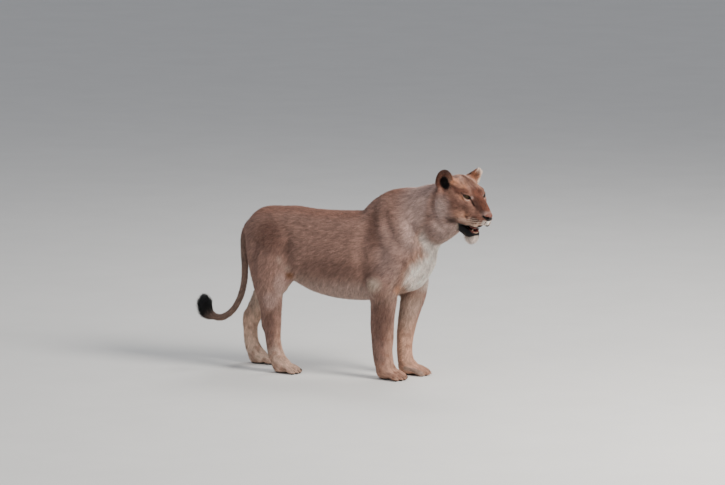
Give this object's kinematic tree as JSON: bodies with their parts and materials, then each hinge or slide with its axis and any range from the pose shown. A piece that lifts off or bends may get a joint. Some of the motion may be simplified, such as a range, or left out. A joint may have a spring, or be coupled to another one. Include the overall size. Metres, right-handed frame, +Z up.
{
  "type": "lioness",
  "caption": "Life-size standing lioness in short tawny coat, head turned to its right, mouth open, tail hanging with a dark tuft curled at its end.",
  "frame": {"origin": "on the floor under the middle of the animal's bounding box", "axes": "+X is the way the body faces, +Y is the animal's left, +Z is up"},
  "size_m": [1.7466, 0.3958, 1.1424],
  "materials": {
    "belly": "short pale hair",
    "chest": "short flat hair",
    "ear_left": "very short close hair",
    "ear_right": "very short close hair",
    "eye_left": "wet, amber iris",
    "eye_right": "wet, amber iris",
    "fore_paw_left": "short pale hair",
    "fore_paw_right": "short pale hair",
    "forearm_left": "short flat hair",
    "forearm_right": "short flat hair",
    "head": "very short close hair",
    "hind_paw_left": "short pale hair",
    "hind_paw_right": "short pale hair",
    "hock_left": "short pale hair",
    "hock_right": "short pale hair",
    "lower_jaw": "short pale hair",
    "neck": "short flat hair",
    "nose": "moist bare skin",
    "rump": "short flat hair",
    "shank_left": "short flat hair",
    "shank_right": "short flat hair",
    "shoulder_left": "short flat hair",
    "shoulder_right": "short flat hair",
    "tail_base": "short flat hair",
    "tail_bend": "short flat hair",
    "tail_end": "short flat hair",
    "tail_tuft": "long coarse black-brown hair",
    "tail_upper": "short flat hair",
    "thigh_left": "short flat hair",
    "thigh_right": "short flat hair",
    "tongue": "moist"
  },
  "bodies": {
    "root": {"belly": "belly", "chest": "chest", "ear_left": "ear_left", "ear_right": "ear_right", "eye_left": "eye_left", "eye_right": "eye_right", "fore_paw_left": "fore_paw_left", "fore_paw_right": "fore_paw_right", "forearm_left": "forearm_left", "forearm_right": "forearm_right", "head": "head", "hind_paw_left": "hind_paw_left", "hind_paw_right": "hind_paw_right", "hock_left": "hock_left", "hock_right": "hock_right", "lower_jaw": "lower_jaw", "neck": "neck", "nose": "nose", "rump": "rump", "shank_left": "shank_left", "shank_right": "shank_right", "shoulder_left": "shoulder_left", "shoulder_right": "shoulder_right", "tail_base": "tail_base", "tail_bend": "tail_bend", "tail_end": "tail_end", "tail_tuft": "tail_tuft", "tail_upper": "tail_upper", "thigh_left": "thigh_left", "thigh_right": "thigh_right", "tongue": "tongue"}
  },
  "joints": []
}
